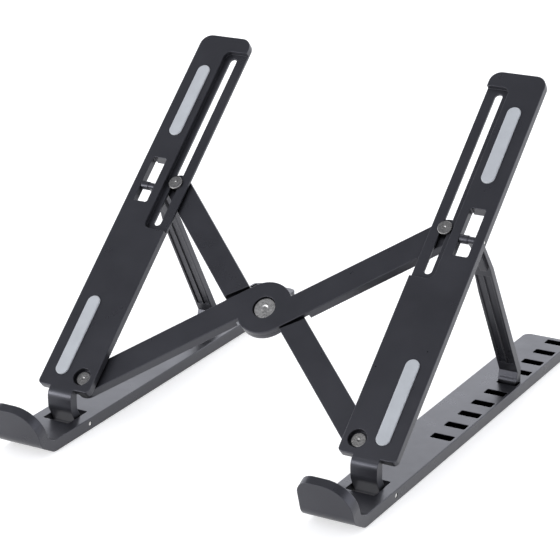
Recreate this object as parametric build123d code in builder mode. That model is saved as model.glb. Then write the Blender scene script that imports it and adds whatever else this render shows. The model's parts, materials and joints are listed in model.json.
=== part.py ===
from build123d import *
import math
import os

os.makedirs("parts", exist_ok=True)

# Folding laptop stand: two base rails, two tilted support arms, two struts and
# a pair of crossbars that work like scissors. Millimetres, +X right, +Y back,
# +Z up. The origin is on the floor, at the middle of the whole stand.

# ---------------------------------------------------------------- dimensions
# positions that both sides share (distance from the middle, left and right)
SIDE_X = 91.2               # centre line of a rail and of the arm above it
STRUT_X = 97.7              # centre line of a strut and of its window
SLOT_X = 98.3               # centre line of the row of slots
PIVOT_X = 82.6              # line of the front rivets and of the slider rivets

# base rail; Y values here are counted from the hinge axis
RAIL_W = 29.4
RAIL_H = 6.4
RAIL_BACK = 224.3
RAIL_FRONT = -33.0
RAIL_BACK_R = 4.5
FOOT_H = 0.8                # how far the foot pads hold the rail off the floor
RAIL_SKIN = 2.2             # thickness of the rail's top wall
HOLLOW_START = 14.0         # row of pockets in the underside, beside the slots
HOLLOW_X = 83.4
HOLLOW_W = 10.6
HOLLOW_L = 33.0
HOLLOW_PITCH = 36.0
HOLLOW_COUNT = 5
HINGE_UP = 3.3              # hinge axis above the rail's underside
OPENING_W = 16.6
OPENING_FRONT = -10.9
OPENING_BACK = 6.8
SLOT_COUNT = 10
SLOT_FIRST = 67.75
SLOT_PITCH = 16.63
SLOT_W = 12.0
SLOT_L = 6.3
SLOT_R = 0.9

# lip that catches the laptop; (Y from the hinge, Z above the rail's underside)
LIP_KNEE = (-43.8, 6.2)
LIP_TIP_FRONT = (-49.6, 25.6)
LIP_TIP_BACK = (-44.9, 27.8)
LIP_ROOT = (-36.9, 8.8)
LIP_HEEL = (-31.5, 6.4)
LIP_R_BIG = 15.0            # upper corner on the right
LIP_R_SMALL = 7.5           # upper corner on the left
LIP_KNEE_R = 8.0
LIP_ROOT_R = 3.0

# foot pads
PAD_SINK = 0.6
FRONT_PAD = (22.0, 17.0)
FRONT_PAD_Y = -22.5
REAR_PAD = (11.0, 24.0)
REAR_PAD_X = 83.6
REAR_PAD_Y = 206.0
PAD_R = 3.0

# support arm; V runs up the arm from the hinge foot, heights from the hinge
TILT = 40.93
ARM_X = 90.95               # centre line of the arm's plate
ARM_W = 32.5
ARM_T = 4.3
ARM_TOP = 17.2
ARM_FRONT = 9.6
ARM_END = 242.8
ARM_FRONT_R = 2.5
ARM_END_R = 6.5
NECK_W = 14.8
NECK_FACE = -6.9            # front face of the neck, Y from the hinge
NECK_BACK = -1.3
NECK_R = 2.9                # of the round foot that the hinge pin runs in
NECK_STRAIGHT = 8.0         # height of the neck's straight lower part
NECK_FRONT_R = 6.0
NECK_THROAT_R = 8.0
NECK_BACK_R = 2.5
NECK_OVERLAP = 8.0          # how far the neck's root reaches into the plate
ARM_HOLLOWS = [(68.0, 94.0), (96.0, 110.0)]
ARM_HOLLOW_W = 27.0
GRIP_HOLLOW = (165.0, 229.0)
GRIP_HOLLOW_W = 12.0
ARM_HOLLOW_D = 2.0
WINDOW_W = 8.8
WINDOW_LOW = 128.2
WINDOW_HIGH = 157.3
WINDOW_R = 1.2
RIB_T = 2.2
RIB_D = 2.4
RECESS_LOW = 112.5
RECESS_HIGH = 233.1
RECESS_X = 88.3
RECESS_D = 2.9
RECESS_R = 4.0
TRACK_LOW = 116.3
TRACK_HIGH = 230.2
TRACK_W = 4.4
COUNTERBORE_R = 5.1
COUNTERBORE_D = 3.1
GRIP_X = 96.2
GRIP_W = 7.6
GRIP_SPANS = {"upper": (176.7, 217.4), "lower": (20.8, 62.2)}
GRIP_SINK = 0.6
GRIP_PROUD = 0.9

# struts; (Y, Z) from the hinge axis
STRUT_PIVOT_V = 139.5
STRUT_PIVOT_UP = 15.0
STRUT_W = 11.0
STRUT_BACK = [(104.3, 97.6), (115.9, 82.3), (156.1, 10.9), (156.2, 3.3)]
STRUT_SOLE = [(150.8, 3.3), (150.4, 4.2), (152.0, 9.6)]
STRUT_FACE = [(112.1, 82.3), (103.0, 95.2)]
STRUT_TAPER = [(-5.5, 64.0), (-4.9, 77.0), (-2.6, 90.0), (-1.2, 100.0)]
STRUT_POCKET = 0.7          # depth of the two sunk strips on the front face
POCKET_X = 2.2
POCKET_W = 3.9
POCKET_END = 6.0
TOE_W = 9.4
TOE_T = 2.4
TOE_Y = 152.0
TOE_LOW = 0.7
TOE_HIGH = 6.0
ROOT_T = 3.4
ROOT_W = 3.8
ROOT_EYE_R = 2.0
BARREL_W = 8.2
BARREL_R = 2.4

# crossbars
BAR_W = 14.4
BAR_T = 5.8
BAR_GAP = 1.1               # air between an arm's underside and a crossbar
BAR_OFFSET = 8.4            # how far each half runs beside the centre pivot
BAR_PIVOT_V = 18.3
BAR_SLIDER_V = 144.3
BOSS_R = 15.6
LAP_GAP = 0.2
LAP_RELIEF = 16.6           # half width of the swing room
BAR_HOLLOW_AT = 62.0
BAR_HOLLOW = (52.0, 9.6)
BAR_HOLLOW_D = 3.4
BAR_EDGE = 0.4
WIDEST_ANGLE = 34.5         # of the pivot line when the half lap stops the bars

# pins and rivets
HINGE_PIN_R = 1.25
STRUT_PIN_R = 1.0
FRONT_RIVET_R = 2.5
SLIDER_RIVET_R = 2.0
CENTRE_RIVET_R = 3.0
HEAD_R = 4.0
CENTRE_HEAD_R = 6.1
CENTRE_HEAD_SINK = 1.9      # depth of the centre rivet's counterbore
HEAD_T = 1.1
SLIDER_HEAD_T = 1.2
CENTRE_HEAD_T = 0.9
HEAD_EDGE = 0.35
DIMPLE_SHARE = 0.22         # radius of the dimple, as a share of the head's
CENTRE_DIMPLE_SHARE = 0.34
DIMPLE_D = 0.4
DIMPLE_SLOPE = 55
TAIL_T = 0.8
FRONT_TAIL_R = 3.8
SLIDER_TAIL_R = 3.6
CENTRE_TAIL_R = 5.2
HEAD_GAP = 0.1
PIN_SETBACK = 0.2           # of a pin's ends from the faces around it
STRUT_PIN_L = 16.0
RUNNING = 0.05              # radial clearance of a pin that turns
EDGE = 0.5                  # small rounding of moulded edges

# ------------------------------------------------------------ derived values
HINGE_Z = FOOT_H + HINGE_UP
HINGE_Y = -(RAIL_BACK + LIP_TIP_FRONT[0]) / 2
RAIL_TOP = RAIL_H - HINGE_UP
SIN = math.sin(math.radians(TILT))
COS = math.cos(math.radians(TILT))
ARM_LOW = ARM_TOP - ARM_T
BAR_TOP = ARM_LOW - BAR_GAP
BAR_LOW = BAR_TOP - BAR_T
LAP_HIGH = BAR_TOP - (BAR_T - LAP_GAP) / 2
LAP_LOW = BAR_LOW + (BAR_T - LAP_GAP) / 2
HALF_BAR = math.hypot(2 * PIVOT_X, BAR_SLIDER_V - BAR_PIVOT_V) / 2
BAR_ANGLE = math.degrees(math.atan2(BAR_SLIDER_V - BAR_PIVOT_V, 2 * PIVOT_X))
BAR_SKEW = math.degrees(math.asin(BAR_OFFSET / HALF_BAR))
BAR_MID_V = (BAR_PIVOT_V + BAR_SLIDER_V) / 2

floor_plane = Plane.XY
arm_plane = Plane(origin=(0, HINGE_Y, HINGE_Z), x_dir=(1, 0, 0), z_dir=(0, -SIN, COS))


def side_plane(x):
    """Plane at a given X whose own axes are +Y and +Z, centred on the hinge."""
    return Plane(origin=(x, HINGE_Y, HINGE_Z), x_dir=(0, 1, 0), z_dir=(1, 0, 0))


def on_arm(v, up):
    """(Y, Z) from the hinge of a point on the arm, V along it and up from it."""
    return (v * COS - up * SIN, v * SIN + up * COS)


def band(points, thickness):
    """Outline of a strip of even thickness that follows a line of points."""
    left = []
    right = []
    for i, (y, z) in enumerate(points):
        before = points[max(i - 1, 0)]
        after = points[min(i + 1, len(points) - 1)]
        d1 = Vector(y - before[0], z - before[1])
        d2 = Vector(after[0] - y, after[1] - z)
        d1 = d1.normalized() if i > 0 else d2.normalized()
        d2 = d2.normalized() if i < len(points) - 1 else d1
        mid = (d1 + d2).normalized()
        reach = thickness / 2 / max(mid.dot(d1), 0.5)
        left.append((y - mid.Y * reach, z + mid.X * reach))
        right.append((y + mid.Y * reach, z - mid.X * reach))
    return left + right[::-1]


def save(piece, name):
    """Label one piece with its node name and write its file."""
    piece.part.label = name
    export_step(piece.part, f"parts/{name}.step")


# ----------------------------------------------------------------- base rail
def make_rail(side):
    x = side * SIDE_X
    outline = [
        (RAIL_BACK, -HINGE_UP),
        (RAIL_FRONT, -HINGE_UP),
        (LIP_KNEE[0], LIP_KNEE[1] - HINGE_UP),
        (LIP_TIP_FRONT[0], LIP_TIP_FRONT[1] - HINGE_UP),
        (LIP_TIP_BACK[0], LIP_TIP_BACK[1] - HINGE_UP),
        (LIP_ROOT[0], LIP_ROOT[1] - HINGE_UP),
        (LIP_HEEL[0], LIP_HEEL[1] - HINGE_UP),
        (RAIL_BACK, RAIL_TOP),
    ]
    with BuildPart() as rail:
        # side outline: flat channel with the lip curling up at the front
        with BuildSketch(side_plane(x)):
            with BuildLine():
                Polyline(*outline, close=True)
            make_face()
        extrude(amount=RAIL_W / 2, both=True)
        across = rail.edges().filter_by(Axis.X)
        front_low = across.sort_by(Axis.Z)[0:2].sort_by(Axis.Y)[0]
        knee = across.sort_by(Axis.Y)[2]
        fillet([front_low, knee], LIP_KNEE_R)
        inner = rail.edges().filter_by(Axis.X).filter_by_position(
            Axis.Y, HINGE_Y + LIP_ROOT[0] - 1, HINGE_Y + LIP_HEEL[0] + 1
        ).filter_by_position(Axis.Z, HINGE_Z + RAIL_TOP - 0.5, HINGE_Z + RAIL_TOP + 3)
        fillet(inner, LIP_ROOT_R)
        # round the lip's two upper corners and the rail's two back corners
        tip_z = HINGE_Z - HINGE_UP + (LIP_TIP_FRONT[1] + LIP_TIP_BACK[1]) / 2
        for end, radius in ((-1, LIP_R_BIG), (0, LIP_R_SMALL)):
            tips = rail.edges().filter_by_position(Axis.Z, tip_z - 0.5, tip_z + 0.5)
            ends = tips.filter_by(lambda e: e.bounding_box().size.X < 0.01)
            fillet(ends.sort_by(Axis.X)[end], radius)
        fillet(rail.edges().filter_by(Axis.Z).sort_by(Axis.Y)[-2:], RAIL_BACK_R)
        # opening that the arm's neck drops into
        opening_mid = (OPENING_FRONT + OPENING_BACK) / 2
        with BuildSketch(floor_plane):
            with Locations((x, HINGE_Y + opening_mid)):
                RectangleRounded(OPENING_W, OPENING_BACK - OPENING_FRONT, 1.0)
        extrude(amount=FOOT_H + RAIL_H + 1, mode=Mode.SUBTRACT)
        # hollow underside beside the row of slots, with cross ribs
        skin_up = FOOT_H + RAIL_H - RAIL_SKIN
        with BuildSketch(floor_plane):
            for i in range(HOLLOW_COUNT):
                start = HOLLOW_START + i * HOLLOW_PITCH
                with Locations((side * HOLLOW_X, HINGE_Y + start + HOLLOW_L / 2)):
                    Rectangle(HOLLOW_W, HOLLOW_L)
        extrude(amount=skin_up, mode=Mode.SUBTRACT)
        # row of slots for the strut's foot
        with BuildSketch(floor_plane):
            for i in range(SLOT_COUNT):
                with Locations((side * SLOT_X, HINGE_Y + SLOT_FIRST + i * SLOT_PITCH)):
                    RectangleRounded(SLOT_W, SLOT_L, SLOT_R)
        extrude(amount=FOOT_H + RAIL_H + 1, mode=Mode.SUBTRACT)
        # seats for the two foot pads
        with BuildSketch(floor_plane):
            with Locations((x, HINGE_Y + FRONT_PAD_Y)):
                RectangleRounded(FRONT_PAD[0], FRONT_PAD[1], PAD_R)
            with Locations((side * REAR_PAD_X, HINGE_Y + REAR_PAD_Y)):
                RectangleRounded(REAR_PAD[0], REAR_PAD[1], PAD_R)
        extrude(amount=FOOT_H + PAD_SINK, mode=Mode.SUBTRACT)
        # hole for the hinge pin, right across the rail
        with BuildSketch(side_plane(x)):
            Circle(HINGE_PIN_R)
        extrude(amount=RAIL_W, both=True, mode=Mode.SUBTRACT)
        # soften the long upper edges
        top = rail.edges().filter_by(Axis.Y).filter_by(lambda e: e.length > RAIL_BACK / 2)
        fillet(top.sort_by(Axis.Z)[-2:], EDGE)
    return rail


# --------------------------------------------------------------- support arm
def make_arm(side):
    x = side * SIDE_X
    neck_up = (NECK_FACE + ARM_TOP * SIN) / COS
    neck_back_up = (NECK_BACK + ARM_LOW * SIN) / COS
    neck = [
        on_arm(ARM_FRONT + NECK_OVERLAP, ARM_TOP),
        on_arm(neck_up, ARM_TOP),
        (NECK_FACE, NECK_STRAIGHT),
        (-NECK_R, 0),
        (NECK_R, 0),
        (NECK_BACK, NECK_STRAIGHT),
        on_arm(neck_back_up, ARM_LOW),
        on_arm(ARM_FRONT + NECK_OVERLAP, ARM_LOW),
    ]
    with BuildPart() as arm:
        # flat plate with rounded corners
        with BuildSketch(arm_plane.offset(ARM_LOW)) as plate:
            with Locations((side * ARM_X, (ARM_FRONT + ARM_END) / 2)):
                Rectangle(ARM_W, ARM_END - ARM_FRONT)
            fillet(plate.vertices().sort_by(Axis.Y)[0:2], ARM_FRONT_R)
            fillet(plate.vertices().sort_by(Axis.Y)[-2:], ARM_END_R)
        extrude(amount=ARM_T)
        top_face = arm.faces().sort_by(lambda f: arm_plane.to_local_coords(f.center()).Z)[-1]
        fillet(top_face.edges(), EDGE)
        # curved neck that goes down to the hinge
        with BuildSketch(side_plane(x)) as throat:
            with BuildLine():
                Polyline(*neck, close=True)
            make_face()
            fillet(throat.vertices().sort_by_distance(neck[1])[0], NECK_FRONT_R)
            fillet(throat.vertices().sort_by_distance(neck[2])[0], NECK_THROAT_R)
            fillet(throat.vertices().sort_by_distance(neck[6])[0], NECK_BACK_R)
            Circle(NECK_R)
        extrude(amount=NECK_W / 2, both=True)
        # hollow underside with cross ribs, clear of the strut and the rivets
        with BuildSketch(arm_plane.offset(ARM_LOW)):
            for low, high in ARM_HOLLOWS:
                with Locations((side * ARM_X, (low + high) / 2)):
                    Rectangle(ARM_HOLLOW_W, high - low)
            with Locations((side * GRIP_X, (GRIP_HOLLOW[0] + GRIP_HOLLOW[1]) / 2)):
                Rectangle(GRIP_HOLLOW_W, GRIP_HOLLOW[1] - GRIP_HOLLOW[0])
        extrude(amount=ARM_HOLLOW_D, mode=Mode.SUBTRACT)
        # rib under the far end of the strut's window
        with BuildSketch(arm_plane.offset(ARM_LOW)):
            with Locations((side * STRUT_X, WINDOW_HIGH + RIB_T / 2)):
                Rectangle(WINDOW_W, RIB_T)
        extrude(amount=-RIB_D)
        # recess along the inner edge, for the slider rivet's head
        recess_edge = ARM_X - ARM_W / 2 - 2 * RECESS_R
        with BuildSketch(arm_plane.offset(ARM_TOP)):
            with Locations((side * (recess_edge + RECESS_X) / 2, (RECESS_LOW + RECESS_HIGH) / 2)):
                RectangleRounded(RECESS_X - recess_edge, RECESS_HIGH - RECESS_LOW, RECESS_R)
        extrude(amount=-RECESS_D, mode=Mode.SUBTRACT)
        # track slot for the slider rivet and window for the strut
        with BuildSketch(arm_plane):
            with Locations((side * PIVOT_X, (TRACK_LOW + TRACK_HIGH) / 2)):
                SlotOverall(TRACK_HIGH - TRACK_LOW, TRACK_W, rotation=90)
            with Locations((side * STRUT_X, (WINDOW_LOW + WINDOW_HIGH) / 2)):
                RectangleRounded(WINDOW_W, WINDOW_HIGH - WINDOW_LOW, WINDOW_R)
        extrude(amount=ARM_TOP + 1, mode=Mode.SUBTRACT)
        # counterbored hole for the front rivet
        with BuildSketch(arm_plane.offset(ARM_TOP)):
            with Locations((side * PIVOT_X, BAR_PIVOT_V)):
                Circle(COUNTERBORE_R)
        extrude(amount=-COUNTERBORE_D, mode=Mode.SUBTRACT)
        with BuildSketch(arm_plane.offset(ARM_LOW - 1)):
            with Locations((side * PIVOT_X, BAR_PIVOT_V)):
                Circle(FRONT_RIVET_R)
        extrude(amount=ARM_T, mode=Mode.SUBTRACT)
        # seats for the two grip pads
        with BuildSketch(arm_plane.offset(ARM_TOP)):
            for low, high in GRIP_SPANS.values():
                with Locations((side * GRIP_X, (low + high) / 2)):
                    SlotOverall(high - low + GRIP_W, GRIP_W, rotation=90)
        extrude(amount=-GRIP_SINK, mode=Mode.SUBTRACT)
        # bore for the hinge pin
        with BuildSketch(side_plane(x)):
            Circle(HINGE_PIN_R + RUNNING)
        extrude(amount=NECK_W, both=True, mode=Mode.SUBTRACT)
        # hole for the strut pin, drilled in from the outer edge
        with BuildSketch(side_plane(side * (ARM_X + ARM_W / 2))):
            with Locations(on_arm(STRUT_PIVOT_V, STRUT_PIVOT_UP)):
                Circle(STRUT_PIN_R)
        extrude(amount=-side * (STRUT_PIN_L + 2 * PIN_SETBACK), mode=Mode.SUBTRACT)
    return arm


# --------------------------------------------------------------------- strut
def make_strut(side):
    """One strut; both sides use the same part, so its root is never mirrored."""
    pivot = on_arm(STRUT_PIVOT_V, STRUT_PIVOT_UP)
    x = side * STRUT_X
    with BuildPart() as strut:
        # leg with a bend near the top
        with BuildSketch(side_plane(x)):
            with BuildLine():
                Polyline(*STRUT_BACK, *STRUT_SOLE, *STRUT_FACE, close=True)
            make_face()
        extrude(amount=STRUT_W / 2, both=True)
        # the leg narrows upwards on one side, towards its root
        with BuildSketch(Plane(origin=(x, 0, HINGE_Z), x_dir=(1, 0, 0), z_dir=(0, -1, 0))):
            with BuildLine():
                top_corner = (-STRUT_W, STRUT_TAPER[-1][1])
                low_corner = (-STRUT_W, STRUT_TAPER[0][1])
                Polyline(*STRUT_TAPER, top_corner, low_corner, close=True)
            make_face()
        extrude(amount=-RAIL_BACK, mode=Mode.SUBTRACT)
        # front face sunk on both sides of a thin middle rib
        run = Vector(0, *STRUT_FACE[0]) - Vector(0, *STRUT_SOLE[-1])
        length = run.length
        run = run.normalized()
        middle = (Vector(0, *STRUT_FACE[0]) + Vector(0, *STRUT_SOLE[-1])) * 0.5
        front = Plane(
            origin=(x, HINGE_Y + middle.Y, HINGE_Z + middle.Z),
            x_dir=(1, 0, 0),
            z_dir=(0, -run.Z, run.Y),
        )
        with BuildSketch(front):
            for hand in (-1, 1):
                with Locations((hand * POCKET_X, 0)):
                    Rectangle(POCKET_W, length - 2 * POCKET_END)
        extrude(amount=-STRUT_POCKET, mode=Mode.SUBTRACT)
        # toe that drops into a slot of the rail
        with BuildSketch(side_plane(x)):
            with Locations((TOE_Y, (TOE_LOW + TOE_HIGH) / 2)):
                Rectangle(TOE_T, TOE_HIGH - TOE_LOW)
        extrude(amount=TOE_W / 2, both=True)
        # narrow root between the leg and the pin, and the eye at its end
        with BuildSketch(side_plane(x + BARREL_W / 2)):
            with BuildLine():
                Polyline(*band([pivot, STRUT_FACE[1], STRUT_FACE[0]], ROOT_T), close=True)
            make_face()
            with Locations(pivot):
                Circle(ROOT_EYE_R)
        extrude(amount=-ROOT_W)
        # barrel that fills the rest of the window
        with BuildSketch(side_plane(x - BARREL_W / 2)):
            with Locations(pivot):
                Circle(BARREL_R)
        extrude(amount=BARREL_W - ROOT_W)
        # bore for the strut pin
        with BuildSketch(side_plane(x)):
            with Locations(pivot):
                Circle(STRUT_PIN_R + RUNNING)
        extrude(amount=STRUT_W, both=True, mode=Mode.SUBTRACT)
    return strut


# ----------------------------------------------------------------- crossbars
def make_crossbar(hand, keeps_top):
    """One crossbar; hand +1 runs from the left front to the right slot."""
    turn = math.radians(hand * BAR_ANGLE)
    bar_plane = Plane(
        origin=arm_plane.from_local_coords(Vector(0, BAR_MID_V, BAR_LOW)),
        x_dir=(math.cos(turn), math.sin(turn) * COS, math.sin(turn) * SIN),
        z_dir=(0, -SIN, COS),
    )
    skew = hand * BAR_SKEW
    sink = HALF_BAR * math.cos(math.radians(BAR_SKEW))
    lean = hand * (90 - 2 * WIDEST_ANGLE - BAR_SKEW)
    with BuildPart() as bar:
        # two parallel strips, each ending on its own pivot, and a round boss
        with BuildSketch(bar_plane):
            with Locations(Location((0, 0, 0), (0, 0, skew))):
                with Locations((-sink / 2, hand * BAR_OFFSET), (sink / 2, -hand * BAR_OFFSET)):
                    Rectangle(sink, BAR_W)
            with Locations((-HALF_BAR, 0), (HALF_BAR, 0)):
                Circle(BAR_W / 2)
            Circle(BOSS_R)
        extrude(amount=BAR_T)
        rim = bar.edges().filter_by(
            lambda e: abs(arm_plane.to_local_coords(e.center()).Z - BAR_TOP) < 0.01
        )
        fillet(rim, BAR_EDGE)
        # half lap at the middle, wide enough for the other bar to swing
        relief_z = 0 if keeps_top else LAP_LOW - BAR_LOW
        relief_t = LAP_HIGH - BAR_LOW if keeps_top else BAR_T - relief_z
        with BuildSketch(bar_plane.offset(relief_z)):
            with Locations(Location((0, 0, 0), (0, 0, lean))):
                Rectangle(2 * LAP_RELIEF, HALF_BAR)
        extrude(amount=relief_t, mode=Mode.SUBTRACT)
        # hollow underside of each strip
        with BuildSketch(bar_plane):
            with Locations(Location((0, 0, 0), (0, 0, skew))):
                with Locations((-BAR_HOLLOW_AT, hand * BAR_OFFSET), (BAR_HOLLOW_AT, -hand * BAR_OFFSET)):
                    Rectangle(*BAR_HOLLOW)
        extrude(amount=BAR_HOLLOW_D, mode=Mode.SUBTRACT)
        # holes for the front rivet, the slider rivet and the centre rivet
        centre_r = CENTRE_RIVET_R if keeps_top else CENTRE_RIVET_R + RUNNING
        with BuildSketch(bar_plane):
            Circle(centre_r)
            with Locations((-HALF_BAR * hand, 0)):
                Circle(FRONT_RIVET_R + RUNNING)
            with Locations((HALF_BAR * hand, 0)):
                Circle(SLIDER_RIVET_R)
        extrude(amount=BAR_T, mode=Mode.SUBTRACT)
        # counterbore for the centre rivet's head
        if keeps_top:
            with BuildSketch(bar_plane.offset(BAR_T)):
                Circle(CENTRE_HEAD_R + 4 * HEAD_GAP)
            extrude(amount=-CENTRE_HEAD_SINK, mode=Mode.SUBTRACT)
    return bar


# ------------------------------------------------------------ rivets and pins
def make_rivet(x, v, shank_r, head_r, head_low, head_high, tail_r, dimple=DIMPLE_SHARE):
    """Rivet square to the arms: round head, shank and rolled tail."""
    with BuildPart() as rivet:
        with BuildSketch(arm_plane.offset(BAR_LOW - HEAD_GAP - TAIL_T)):
            with Locations((x, v)):
                Circle(tail_r)
        extrude(amount=TAIL_T)
        with BuildSketch(arm_plane.offset(BAR_LOW - HEAD_GAP)):
            with Locations((x, v)):
                Circle(shank_r)
        extrude(amount=head_low - BAR_LOW + HEAD_GAP)
        with BuildSketch(arm_plane.offset(head_low)):
            with Locations((x, v)):
                Circle(head_r)
        extrude(amount=head_high - head_low)
        circles = rivet.edges().filter_by(GeomType.CIRCLE)
        rim = circles.filter_by(lambda e: abs(e.radius - head_r) < 0.01)
        rim_high = rim.sort_by(lambda e: arm_plane.to_local_coords(e.center()).Z)[-1]
        fillet(rim_high, HEAD_EDGE)
        with BuildSketch(arm_plane.offset(head_high)):
            with Locations((x, v)):
                Circle(head_r * dimple)
        extrude(amount=-DIMPLE_D, taper=DIMPLE_SLOPE, mode=Mode.SUBTRACT)
    return rivet


def make_pin(x_low, x_high, centre, radius):
    """Plain steel pin along X."""
    with BuildPart() as pin:
        with BuildSketch(side_plane(x_low)):
            with Locations(centre):
                Circle(radius)
        extrude(amount=x_high - x_low)
        chamfer(pin.edges().filter_by(GeomType.CIRCLE), 0.2)
    return pin


def make_grip(side, span):
    """Silicone strip let into the top of an arm."""
    low, high = span
    with BuildPart() as grip:
        with BuildSketch(arm_plane.offset(ARM_TOP - GRIP_SINK)):
            with Locations((side * GRIP_X, (low + high) / 2)):
                SlotOverall(high - low + GRIP_W, GRIP_W, rotation=90)
        extrude(amount=GRIP_SINK + GRIP_PROUD)
        top = grip.faces().sort_by(lambda f: arm_plane.to_local_coords(f.center()).Z)[-1]
        fillet(top.edges(), 0.4)
    return grip


def make_foot(x, y, size):
    """Silicone foot pad let into the underside of a rail."""
    with BuildPart() as foot:
        with BuildSketch(floor_plane):
            with Locations((x, HINGE_Y + y)):
                RectangleRounded(size[0], size[1], PAD_R)
        extrude(amount=FOOT_H + PAD_SINK)
        fillet(foot.faces().sort_by(Axis.Z)[0].edges(), 0.3)
    return foot


# ----------------------------------------------------------------- the stand
for side, name in ((-1, "left"), (1, "right")):
    save(make_rail(side), f"{name}_base_rail")
    save(make_arm(side), f"{name}_support_arm")
    save(make_strut(side), f"{name}_strut")

    reach = RAIL_W / 2 - PIN_SETBACK
    pin_ends = (side * SIDE_X - reach, side * SIDE_X + reach)
    save(make_pin(pin_ends[0], pin_ends[1], (0, 0), HINGE_PIN_R), f"{name}_hinge_pin")
    outer_end = ARM_X + ARM_W / 2 - PIN_SETBACK
    strut_ends = sorted((side * outer_end, side * (outer_end - STRUT_PIN_L)))
    strut_axis = on_arm(STRUT_PIVOT_V, STRUT_PIVOT_UP)
    save(make_pin(strut_ends[0], strut_ends[1], strut_axis, STRUT_PIN_R), f"{name}_strut_pin")

    front_floor = ARM_TOP - COUNTERBORE_D
    front_rivet = make_rivet(
        side * PIVOT_X, BAR_PIVOT_V, FRONT_RIVET_R, HEAD_R, front_floor, front_floor + HEAD_T, FRONT_TAIL_R
    )
    save(front_rivet, f"{name}_front_rivet")
    slider_floor = ARM_TOP - RECESS_D + HEAD_GAP
    slider_rivet = make_rivet(
        side * PIVOT_X,
        BAR_SLIDER_V,
        SLIDER_RIVET_R,
        HEAD_R,
        slider_floor,
        slider_floor + SLIDER_HEAD_T,
        SLIDER_TAIL_R,
    )
    save(slider_rivet, f"{name}_slider_rivet")

    for place, span in GRIP_SPANS.items():
        save(make_grip(side, span), f"{name}_{place}_grip")
    save(make_foot(side * SIDE_X, FRONT_PAD_Y, FRONT_PAD), f"{name}_front_foot")
    save(make_foot(side * REAR_PAD_X, REAR_PAD_Y, REAR_PAD), f"{name}_rear_foot")

save(make_crossbar(1, True), "upper_crossbar")
save(make_crossbar(-1, False), "lower_crossbar")
centre_floor = BAR_TOP - CENTRE_HEAD_SINK
centre_rivet = make_rivet(
    0,
    BAR_MID_V,
    CENTRE_RIVET_R,
    CENTRE_HEAD_R,
    centre_floor,
    centre_floor + CENTRE_HEAD_T,
    CENTRE_TAIL_R,
    CENTRE_DIMPLE_SHARE,
)
save(centre_rivet, "centre_rivet")
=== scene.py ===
import json
import math

import bpy
from mathutils import Matrix, Vector

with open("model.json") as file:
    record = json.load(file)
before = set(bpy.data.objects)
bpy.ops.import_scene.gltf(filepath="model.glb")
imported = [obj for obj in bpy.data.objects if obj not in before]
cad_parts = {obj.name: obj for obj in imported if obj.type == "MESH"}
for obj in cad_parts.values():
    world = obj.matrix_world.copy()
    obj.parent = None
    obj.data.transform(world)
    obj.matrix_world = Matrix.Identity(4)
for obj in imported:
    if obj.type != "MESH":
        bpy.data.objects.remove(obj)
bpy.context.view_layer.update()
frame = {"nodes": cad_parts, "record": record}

# ------------------------------------------------------------------- camera
# The stand is seen from the front right, a little above it, through a long lens.
CAMERA_AT = Vector((0.5337, -0.9401, 0.4657))
YAW = math.radians(30.02)
PITCH = math.radians(20.07)
ROLL = math.radians(-0.6)
LENS = 137.5
SENSOR = 36

# ---------------------------------------------- brightness of floor and sky
FLOOR_REACH = 6.0
FLOOR_COLOUR = (0.72, 0.715, 0.70, 1.0)
FLOOR_GLOW = 0.50
SKY_TINT = (0.96, 0.98, 1.05)
SKY_STRENGTH = 2.3
# height of a direction, from 0 level to 1 straight up, and the brightness there
SKY_BANDS = [(0.0, 0.90), (0.40, 0.96), (0.60, 0.28), (0.85, 0.15), (1.0, 0.28)]

# --------------------------------------------------------------- strut slots and their painted shade
# The record gives a clear box inside each slot. These margins take in the slot's walls,
# all but their upper rim, which are painted near black as shade.
MARGIN_INNER = 0.0012
MARGIN_OUTER = 0.0009
MARGIN_FRONT = 0.0027
MARGIN_TOP = 0.00018

slot_boxes = [
    opening["box_m"]
    for opening in frame["record"]["physics"]["openings"]
    if opening["name"].startswith("right_slot")
]
SLOT_INNER_X = min(low[0] for low, _ in slot_boxes) - MARGIN_INNER
SLOT_OUTER_X = max(high[0] for _, high in slot_boxes) + MARGIN_OUTER
SLOT_FRONT_Y = min(low[1] for low, _ in slot_boxes) - MARGIN_FRONT
rail_points = [vertex.co for vertex in frame["nodes"]["right_base_rail"].data.vertices]
SLOT_TOP = max(point.z for point in rail_points if point.y > SLOT_FRONT_Y) - MARGIN_TOP


def place_camera():
    """Camera from its yaw, pitch and roll, made the scene's camera."""
    forward = Vector((
        -math.sin(YAW) * math.cos(PITCH),
        math.cos(YAW) * math.cos(PITCH),
        -math.sin(PITCH),
    ))
    level = Vector((math.cos(YAW), math.sin(YAW), 0))
    upright = level.cross(forward)
    right = math.cos(ROLL) * level + math.sin(ROLL) * upright
    up = -math.sin(ROLL) * level + math.cos(ROLL) * upright
    turn = Matrix((right, up, -forward)).transposed().to_4x4()
    data = bpy.data.cameras.new("camera")
    data.lens = LENS
    data.sensor_width = SENSOR
    camera = bpy.data.objects.new("camera", data)
    camera.matrix_world = Matrix.Translation(CAMERA_AT) @ turn
    bpy.context.scene.collection.objects.link(camera)
    bpy.context.scene.camera = camera


# ------------------------------------------------------------ material parts
def new_material(name):
    material = bpy.data.materials.new(name)
    material.use_nodes = True
    tree = material.node_tree
    shader = tree.nodes["Principled BSDF"]
    return material, tree, shader


def noise(tree, scale, detail, rough=0.55):
    """Noise in object space, so that it stays put when a body moves."""
    coords = tree.nodes.new("ShaderNodeTexCoord")
    texture = tree.nodes.new("ShaderNodeTexNoise")
    texture.inputs["Scale"].default_value = scale
    texture.inputs["Detail"].default_value = detail
    texture.inputs["Roughness"].default_value = rough
    tree.links.new(coords.outputs["Object"], texture.inputs["Vector"])
    return texture.outputs["Fac"]


def grey(value, tint=(1.0, 1.0, 1.0)):
    return (value * tint[0], value * tint[1], value * tint[2], 1.0)


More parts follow.
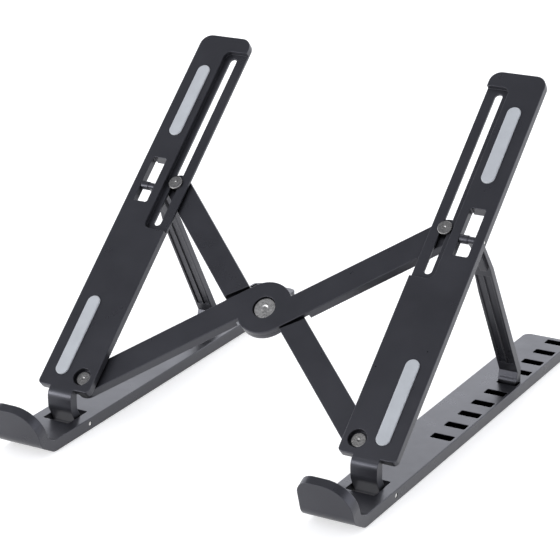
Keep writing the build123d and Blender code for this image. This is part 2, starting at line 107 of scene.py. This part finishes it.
def ramp(tree, value, stops):
    """Colour that follows a value through the given stops, each (place, colour)."""
    node = tree.nodes.new("ShaderNodeValToRGB")
    first, last = stops[0], stops[-1]
    node.color_ramp.elements[0].position = first[0]
    node.color_ramp.elements[0].color = first[1]
    node.color_ramp.elements[1].position = last[0]
    node.color_ramp.elements[1].color = last[1]
    for place, colour in stops[1:-1]:
        node.color_ramp.elements.new(place).color = colour
    tree.links.new(value, node.inputs["Fac"])
    return node.outputs["Color"]


def mottle(tree, value, dark, light, start=0.3, end=0.7):
    """Goes from dark to light over the stretch where most of a noise's values lie."""
    return ramp(tree, value, [(start, dark), (end, light)])


def bump(tree, normal, height, strength, distance):
    """The given normal with one fine height layer added."""
    node = tree.nodes.new("ShaderNodeBump")
    node.inputs["Strength"].default_value = strength
    node.inputs["Distance"].default_value = distance
    tree.links.new(height, node.inputs["Height"])
    tree.links.new(normal, node.inputs["Normal"])
    return node.outputs["Normal"]


def rounded_edges(tree, radius):
    """Normal that softens every edge a little, within the given radius."""
    node = tree.nodes.new("ShaderNodeBevel")
    node.samples = 6
    node.inputs["Radius"].default_value = radius
    return node.outputs["Normal"]


def painted_cavity_shade(tree, reach):
    """Painted shade: grey that is 1 on open faces and darkens in narrow slots and corners, where shade
    falls.
    """
    node = tree.nodes.new("ShaderNodeAmbientOcclusion")
    node.samples = 8
    node.inputs["Distance"].default_value = reach
    return ramp(tree, node.outputs["AO"], [(0.38, grey(0.0)), (0.80, grey(1.0))])


def times(tree, first, second):
    """Product of two colours or masks."""
    node = tree.nodes.new("ShaderNodeMix")
    node.data_type = "RGBA"
    node.blend_type = "MULTIPLY"
    node.inputs["Factor"].default_value = 1.0
    tree.links.new(first, node.inputs["A"])
    tree.links.new(second, node.inputs["B"])
    return node.outputs["Result"]


def compare(tree, value, operation, limit):
    """Mask that is 1 where the value is above or below the limit."""
    node = tree.nodes.new("ShaderNodeMath")
    node.operation = operation
    node.inputs[1].default_value = limit
    tree.links.new(value, node.inputs[0])
    return node.outputs["Value"]


def painted_slot_shade_mask(tree):
    """Mask of painted shade: 1 below the top face in the strip of each rail that holds the strut slots.

    It takes in the slots' walls, and the rail's back end and underside in that strip too.
    """
    coords = tree.nodes.new("ShaderNodeTexCoord")
    split = tree.nodes.new("ShaderNodeSeparateXYZ")
    tree.links.new(coords.outputs["Object"], split.inputs["Vector"])
    across = tree.nodes.new("ShaderNodeMath")
    across.operation = "ABSOLUTE"
    tree.links.new(split.outputs["X"], across.inputs[0])
    deep = compare(tree, split.outputs["Z"], "LESS_THAN", SLOT_TOP)
    wide = compare(tree, across.outputs["Value"], "GREATER_THAN", SLOT_INNER_X)
    near = compare(tree, across.outputs["Value"], "LESS_THAN", SLOT_OUTER_X)
    back = compare(tree, split.outputs["Y"], "GREATER_THAN", SLOT_FRONT_Y)
    return times(tree, times(tree, deep, wide), times(tree, near, back))


# ---------------------------------------------------------------- materials
PLASTIC_TINT = (0.96, 0.97, 1.12)
PLASTIC_SHINE_TINT = (0.93, 0.935, 1.05, 1.0)
PLASTIC_SHINE = 0.5
# brightness that the slot walls are painted to, as the shade inside the slots
SLOT_SHADE = 0.02
METAL_TINT = (1.02, 1.0, 0.97)


def moulded_plastic(name, tone, gloss, paint_slot_shade=False):
    """Satin injection-moulded ABS: fine spark texture, flow marks, painted shade in cavities and, when
    asked, on the slot walls.
    """
    material, tree, shader = new_material(name)
    # Painted shade: the base colour is darkened in narrow slots and corners.
    painted_shade = painted_cavity_shade(tree, reach=0.004)
    shader.inputs["Specular IOR Level"].default_value = PLASTIC_SHINE
    # Painted shade: the rails' slot walls are made near black, shine included, to stand in for the shade
    # inside the slots.
    if paint_slot_shade:
        shade = ramp(tree, painted_slot_shade_mask(tree), [(0.0, grey(1.0)), (1.0, grey(SLOT_SHADE))])
        painted_shade = times(tree, painted_shade, shade)
        shine = ramp(tree, shade, [(0.0, grey(0.0)), (1.0, grey(PLASTIC_SHINE))])
        tree.links.new(shine, shader.inputs["Specular IOR Level"])
    shader.inputs["Specular Tint"].default_value = PLASTIC_SHINE_TINT
    cloud = noise(tree, scale=28, detail=4)
    colour = mottle(tree, cloud, grey(tone * 0.85, PLASTIC_TINT), grey(tone * 1.15, PLASTIC_TINT))
    tree.links.new(times(tree, colour, painted_shade), shader.inputs["Base Color"])
    smear = noise(tree, scale=60, detail=5, rough=0.6)
    tree.links.new(mottle(tree, smear, grey(gloss - 0.05), grey(gloss + 0.06)), shader.inputs["Roughness"])
    normal = rounded_edges(tree, radius=0.0005)
    spark = noise(tree, scale=2200, detail=2, rough=0.5)
    normal = bump(tree, normal, spark, strength=0.06, distance=0.0001)
    flow = noise(tree, scale=120, detail=3)
    normal = bump(tree, normal, flow, strength=0.06, distance=0.0006)
    tree.links.new(normal, shader.inputs["Normal"])
    return material


def plated_metal(name, tone, gloss, speckle, grain=1100):
    """Plated steel with a stippled face, dulled patches and painted shade in its crevices."""
    material, tree, shader = new_material(name)
    spots = noise(tree, scale=grain, detail=5, rough=0.7)
    colour = mottle(
        tree, spots, grey(tone * 0.62, METAL_TINT), grey(tone * 1.25, METAL_TINT), start=0.36, end=0.66
    )
    # Painted shade: the base colour is darkened in crevices and corners.
    tree.links.new(times(tree, colour, painted_cavity_shade(tree, reach=0.0012)), shader.inputs["Base Color"])
    shader.inputs["Metallic"].default_value = 1.0
    patches = noise(tree, scale=420, detail=3)
    tree.links.new(mottle(tree, patches, grey(gloss - 0.06), grey(gloss + 0.08)), shader.inputs["Roughness"])
    normal = rounded_edges(tree, radius=0.0004)
    stipple = noise(tree, scale=1500, detail=3)
    normal = bump(tree, normal, stipple, strength=speckle, distance=0.0003)
    tree.links.new(normal, shader.inputs["Normal"])
    return material


def silicone(name, tone, tint):
    """Soft matt silicone with a dusty sheen."""
    material, tree, shader = new_material(name)
    cloud = noise(tree, scale=90, detail=4)
    colour = mottle(tree, cloud, grey(tone * 0.94, tint), grey(tone * 1.04, tint))
    tree.links.new(colour, shader.inputs["Base Color"])
    shader.inputs["Roughness"].default_value = 0.62
    shader.inputs["Sheen Weight"].default_value = 0.15
    shader.inputs["Subsurface Weight"].default_value = 0.05
    shader.inputs["Subsurface Radius"].default_value = (0.002, 0.002, 0.002)
    normal = rounded_edges(tree, radius=0.0005)
    dust = noise(tree, scale=3200, detail=2)
    normal = bump(tree, normal, dust, strength=0.12, distance=0.0001)
    swell = noise(tree, scale=300, detail=2)
    normal = bump(tree, normal, swell, strength=0.05, distance=0.0003)
    tree.links.new(normal, shader.inputs["Normal"])
    return material


PLASTIC = moulded_plastic("moulded_plastic", tone=0.0155, gloss=0.31)
# the same plastic, with painted shade on the rails' slot walls
PLASTIC_WITH_SLOT_SHADE = moulded_plastic("slotted_plastic", tone=0.0155, gloss=0.31, paint_slot_shade=True)
RIVET = plated_metal("nickel_rivet", tone=0.27, gloss=0.30, speckle=0.35)
# Painted light: the same nickel as the other rivets, made lighter to stand in for the brighter light on the
# centre rivet.
CENTRE_LIT_NICKEL = plated_metal("centre_rivet_nickel", tone=0.44, gloss=0.28, speckle=0.30, grain=900)
PIN = plated_metal("bright_pin", tone=0.72, gloss=0.22, speckle=0.08)
GRIP = silicone("grip_silicone", tone=0.345, tint=(0.96, 1.0, 1.045))
FOOT = silicone("foot_silicone", tone=0.06, tint=(1.0, 1.0, 1.02))

# pieces that there is one of on each side
SIDE_FINISH = {
    "base_rail": PLASTIC_WITH_SLOT_SHADE,
    "support_arm": PLASTIC,
    "strut": PLASTIC,
    "front_rivet": RIVET,
    "slider_rivet": RIVET,
    "hinge_pin": PIN,
    "strut_pin": PIN,
    "upper_grip": GRIP,
    "lower_grip": GRIP,
    "front_foot": FOOT,
    "rear_foot": FOOT,
}
MIDDLE_FINISH = {
    "upper_crossbar": PLASTIC,
    "lower_crossbar": PLASTIC,
    "centre_rivet": CENTRE_LIT_NICKEL,
}


def paint(node, material):
    piece = frame["nodes"][node]
    piece.data.materials.clear()
    piece.data.materials.append(material)


for side in ("left", "right"):
    for kind, finish in SIDE_FINISH.items():
        paint(f"{side}_{kind}", finish)
for node, finish in MIDDLE_FINISH.items():
    paint(node, finish)


# ------------------------------------------------------------ floor and light
def make_floor():
    """Plain pale floor that glows a little, so that shadows stay faint."""
    mesh = bpy.data.meshes.new("floor")
    corners = [
        (-FLOOR_REACH, -FLOOR_REACH, 0),
        (FLOOR_REACH, -FLOOR_REACH, 0),
        (FLOOR_REACH, FLOOR_REACH, 0),
        (-FLOOR_REACH, FLOOR_REACH, 0),
    ]
    mesh.from_pydata(corners, [], [(0, 1, 2, 3)])
    floor = bpy.data.objects.new("floor", mesh)
    bpy.context.scene.collection.objects.link(floor)
    material, _, shader = new_material("pale_floor")
    shader.inputs["Base Color"].default_value = FLOOR_COLOUR
    shader.inputs["Roughness"].default_value = 0.9
    shader.inputs["Emission Color"].default_value = grey(1.0)
    shader.inputs["Emission Strength"].default_value = FLOOR_GLOW
    mesh.materials.append(material)


def make_world():
    """Studio surround: bright near the horizon, dim overhead."""
    world = bpy.data.worlds.new("studio")
    world.use_nodes = True
    tree = world.node_tree
    coords = tree.nodes.new("ShaderNodeTexCoord")
    split = tree.nodes.new("ShaderNodeSeparateXYZ")
    tree.links.new(coords.outputs["Generated"], split.inputs["Vector"])
    stops = [(height, grey(brightness, SKY_TINT)) for height, brightness in SKY_BANDS]
    background = tree.nodes["Background"]
    tree.links.new(ramp(tree, split.outputs["Z"], stops), background.inputs["Color"])
    background.inputs["Strength"].default_value = SKY_STRENGTH
    bpy.context.scene.world = world


def area_light(name, at, aim, size, power):
    """Rectangular lamp at one point, turned towards another."""
    data = bpy.data.lights.new(name, "AREA")
    data.shape = "RECTANGLE"
    data.size, data.size_y = size
    data.energy = power
    light = bpy.data.objects.new(name, data)
    light.location = at
    light.rotation_euler = (Vector(aim) - Vector(at)).to_track_quat("-Z", "Y").to_euler()
    bpy.context.scene.collection.objects.link(light)


place_camera()
make_floor()
make_world()
area_light("back", at=(-0.2, 1.3, 1.5), aim=(0, 0, 0), size=(1.6, 1.2), power=8)
area_light("front", at=(-1.1, -1.5, 0.35), aim=(0, -0.1, 0.05), size=(1.0, 0.6), power=15)
area_light("sheen", at=(-0.15, -0.38, 0.50), aim=(0.05, -0.1, 0.03), size=(0.26, 0.16), power=0.16)
bpy.context.scene.view_settings.view_transform = "Standard"
